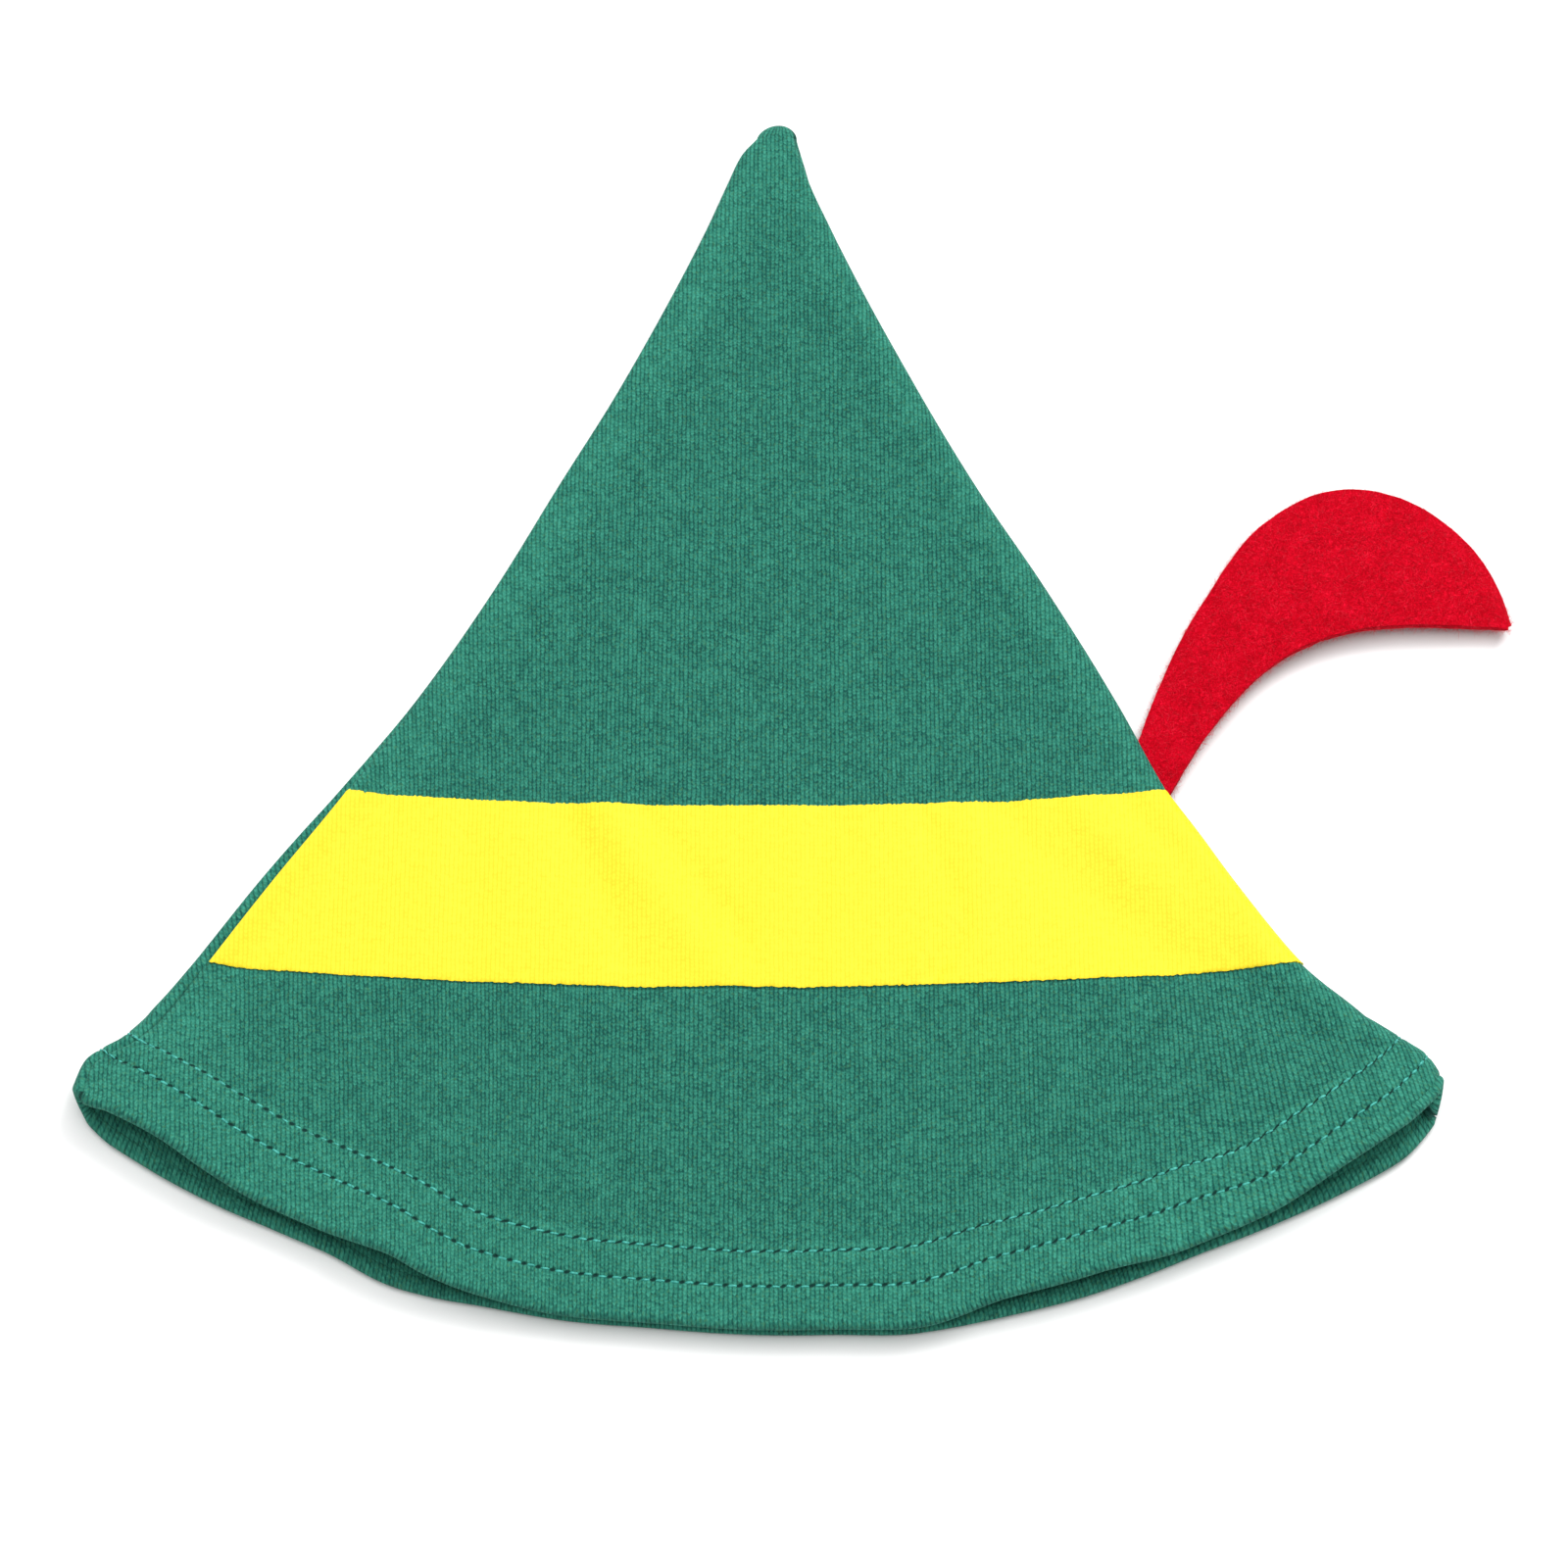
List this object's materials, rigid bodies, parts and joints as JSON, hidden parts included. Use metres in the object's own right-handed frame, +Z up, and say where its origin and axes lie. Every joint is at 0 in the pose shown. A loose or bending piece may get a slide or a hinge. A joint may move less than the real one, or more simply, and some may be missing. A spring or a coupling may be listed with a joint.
{
  "type": "child's pointed elf hat with felt feather, laid flat",
  "caption": "Pointed green knit elf hat laid flat, with a plain yellow band across the front, a turned-in stitched hem and a red felt feather in its side seam.",
  "frame": {"origin": "middle of the flat underside's bounding rectangle, on the surface that the hat lies on", "axes": "+Z up from the surface, +Y towards the hat's tip, -Y towards its hem, +X towards the feather"},
  "size_m": [0.2618, 0.2428, 0.0108],
  "materials": {
    "green_knit": "matt cotton interlock knit",
    "yellow_film": "matt pressed-on film over the knit",
    "red_felt": "matt fibre felt"
  },
  "bodies": {
    "root": {"front": "green_knit", "back": "green_knit", "band": "yellow_film", "feather": "red_felt"}
  },
  "joints": []
}
